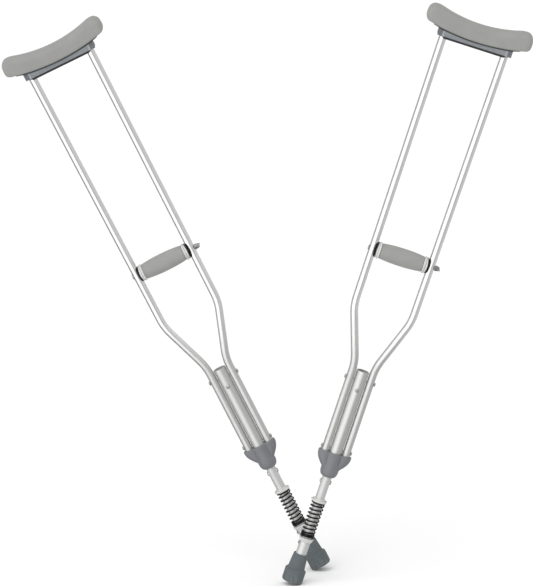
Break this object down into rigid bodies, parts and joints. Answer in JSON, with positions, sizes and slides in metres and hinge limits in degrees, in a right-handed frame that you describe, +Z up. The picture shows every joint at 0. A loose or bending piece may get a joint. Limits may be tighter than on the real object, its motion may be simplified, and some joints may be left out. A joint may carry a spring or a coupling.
{
  "type": "underarm crutches",
  "caption": "Pair of adjustable underarm crutches with foam cushions and handgrips, telescoping legs locked by side buttons, shock springs and rubber tips, standing crossed.",
  "frame": {"origin": "on the floor, under the middle of the pair as it stands crossed", "axes": "+Z up, +X to the right and +Y to the rear as seen from the front; both crutches lie in planes parallel to XZ, the left one behind"},
  "size_m": [1.0514, 0.159, 1.1852],
  "materials": {
    "cushion_foam": "matt closed-cell foam, mid grey",
    "grip_foam": "matt foam sleeve, mid grey",
    "saddle_plastic": "moulded, blue-grey",
    "collar_plastic": "moulded, dark blue-grey",
    "anodised_tube": "satin anodised, drawn along its length",
    "rivet_steel": "plated",
    "plated_steel": "bright plated",
    "spring_steel": "oiled strip",
    "black_spring": "gloss black",
    "black_plastic": "moulded, black",
    "grey_plastic": "moulded, grey",
    "pale_plastic": "moulded, near white",
    "tip_rubber": "matt, slate grey"
  },
  "bodies": {
    "left_frame": {"left_underarm_cushion": "cushion_foam", "left_underarm_saddle": "saddle_plastic", "left_outer_upright": "anodised_tube", "left_inner_upright": "anodised_tube", "left_outer_upper_rivet": "rivet_steel", "left_inner_upper_rivet": "rivet_steel", "left_outer_lower_rivet": "rivet_steel", "left_inner_lower_rivet": "rivet_steel", "left_centre_tube": "anodised_tube", "left_collar": "collar_plastic", "left_guide_tube": "anodised_tube", "left_guide_rivet": "rivet_steel", "left_lock_clip": "spring_steel", "left_grip_bolt": "plated_steel", "left_outer_grip_washer": "black_plastic", "left_inner_grip_washer": "black_plastic"},
    "left_handgrip": {"left_grip_foam": "grip_foam", "left_grip_core": "grey_plastic", "left_outer_grip_flange": "pale_plastic", "left_inner_grip_flange": "pale_plastic"},
    "left_wing_nut_body": {"left_wing_nut": "plated_steel"},
    "left_outer_button": {"left_outer_lock_button": "plated_steel"},
    "left_inner_button": {"left_inner_lock_button": "plated_steel"},
    "left_leg": {"left_leg_tube": "anodised_tube", "left_upper_spring_seat": "pale_plastic", "left_shock_spring": "black_spring", "left_foot_pin": "rivet_steel"},
    "left_foot": {"left_lower_spring_seat": "pale_plastic", "left_foot_tube": "anodised_tube", "left_rubber_tip": "tip_rubber"},
    "right_frame": {"right_underarm_cushion": "cushion_foam", "right_underarm_saddle": "saddle_plastic", "right_outer_upright": "anodised_tube", "right_inner_upright": "anodised_tube", "right_outer_upper_rivet": "rivet_steel", "right_inner_upper_rivet": "rivet_steel", "right_outer_lower_rivet": "rivet_steel", "right_inner_lower_rivet": "rivet_steel", "right_centre_tube": "anodised_tube", "right_collar": "collar_plastic", "right_guide_tube": "anodised_tube", "right_guide_rivet": "rivet_steel", "right_lock_clip": "spring_steel", "right_grip_bolt": "plated_steel", "right_outer_grip_washer": "black_plastic", "right_inner_grip_washer": "black_plastic"},
    "right_handgrip": {"right_grip_foam": "grip_foam", "right_grip_core": "grey_plastic", "right_outer_grip_flange": "pale_plastic", "right_inner_grip_flange": "pale_plastic"},
    "right_wing_nut_body": {"right_wing_nut": "plated_steel"},
    "right_outer_button": {"right_outer_lock_button": "plated_steel"},
    "right_inner_button": {"right_inner_lock_button": "plated_steel"},
    "right_leg": {"right_leg_tube": "anodised_tube", "right_upper_spring_seat": "pale_plastic", "right_shock_spring": "black_spring", "right_foot_pin": "rivet_steel"},
    "right_foot": {"right_lower_spring_seat": "pale_plastic", "right_foot_tube": "anodised_tube", "right_rubber_tip": "tip_rubber"}
  },
  "joints": [
    {"name": "right_crutch_apart", "type": "slide", "parent": "left_frame", "child": "right_frame", "axis": [0, -1, 0], "range_m": [0, 0.25]},
    {"name": "left_handgrip_turn", "type": "hinge", "parent": "left_frame", "child": "left_handgrip", "pos_m": [-0.20482, 0.0575, 0.63202], "axis": [0.8934, 0, 0.4493], "continuous": true},
    {"name": "left_wing_nut_turn", "type": "hinge", "parent": "left_frame", "child": "left_wing_nut_body", "pos_m": [-0.20482, 0.0575, 0.63202], "axis": [0.8934, 0, 0.4493], "continuous": true},
    {"name": "left_outer_button_press", "type": "slide", "parent": "left_frame", "child": "left_outer_button", "axis": [0.8934, 0, 0.4493], "range_m": [0, 0.0041], "stiffness_N_per_m": 600, "springref_m": -0.003, "deforming": ["left_lock_clip"]},
    {"name": "left_inner_button_press", "type": "slide", "parent": "left_frame", "child": "left_inner_button", "axis": [-0.8934, 0, -0.4493], "range_m": [0, 0.0041], "stiffness_N_per_m": 600, "springref_m": -0.003},
    {"name": "left_leg_slide", "type": "slide", "parent": "left_frame", "child": "left_leg", "axis": [0.4493, 0, -0.8934], "range_m": [0, 0.1524]},
    {"name": "left_shock_travel", "type": "slide", "parent": "left_leg", "child": "left_foot", "axis": [-0.4493, 0, 0.8934], "range_m": [0, 0.015], "stiffness_N_per_m": 15000, "springref_m": -0.003, "deforming": ["left_shock_spring"]},
    {"name": "right_handgrip_turn", "type": "hinge", "parent": "right_frame", "child": "right_handgrip", "pos_m": [0.26743, -0.0575, 0.66876], "axis": [0.95, 0, -0.3123], "continuous": true},
    {"name": "right_wing_nut_turn", "type": "hinge", "parent": "right_frame", "child": "right_wing_nut_body", "pos_m": [0.26743, -0.0575, 0.66876], "axis": [0.95, 0, -0.3123], "continuous": true},
    {"name": "right_outer_button_press", "type": "slide", "parent": "right_frame", "child": "right_outer_button", "axis": [0.95, 0, -0.3123], "range_m": [0, 0.0041], "stiffness_N_per_m": 600, "springref_m": -0.003, "deforming": ["right_lock_clip"]},
    {"name": "right_inner_button_press", "type": "slide", "parent": "right_frame", "child": "right_inner_button", "axis": [-0.95, 0, 0.3123], "range_m": [0, 0.0041], "stiffness_N_per_m": 600, "springref_m": -0.003},
    {"name": "right_leg_slide", "type": "slide", "parent": "right_frame", "child": "right_leg", "axis": [-0.3123, 0, -0.95], "range_m": [0, 0.1524]},
    {"name": "right_shock_travel", "type": "slide", "parent": "right_leg", "child": "right_foot", "axis": [0.3123, 0, 0.95], "range_m": [0, 0.015], "stiffness_N_per_m": 15000, "springref_m": -0.003, "deforming": ["right_shock_spring"]}
  ]
}
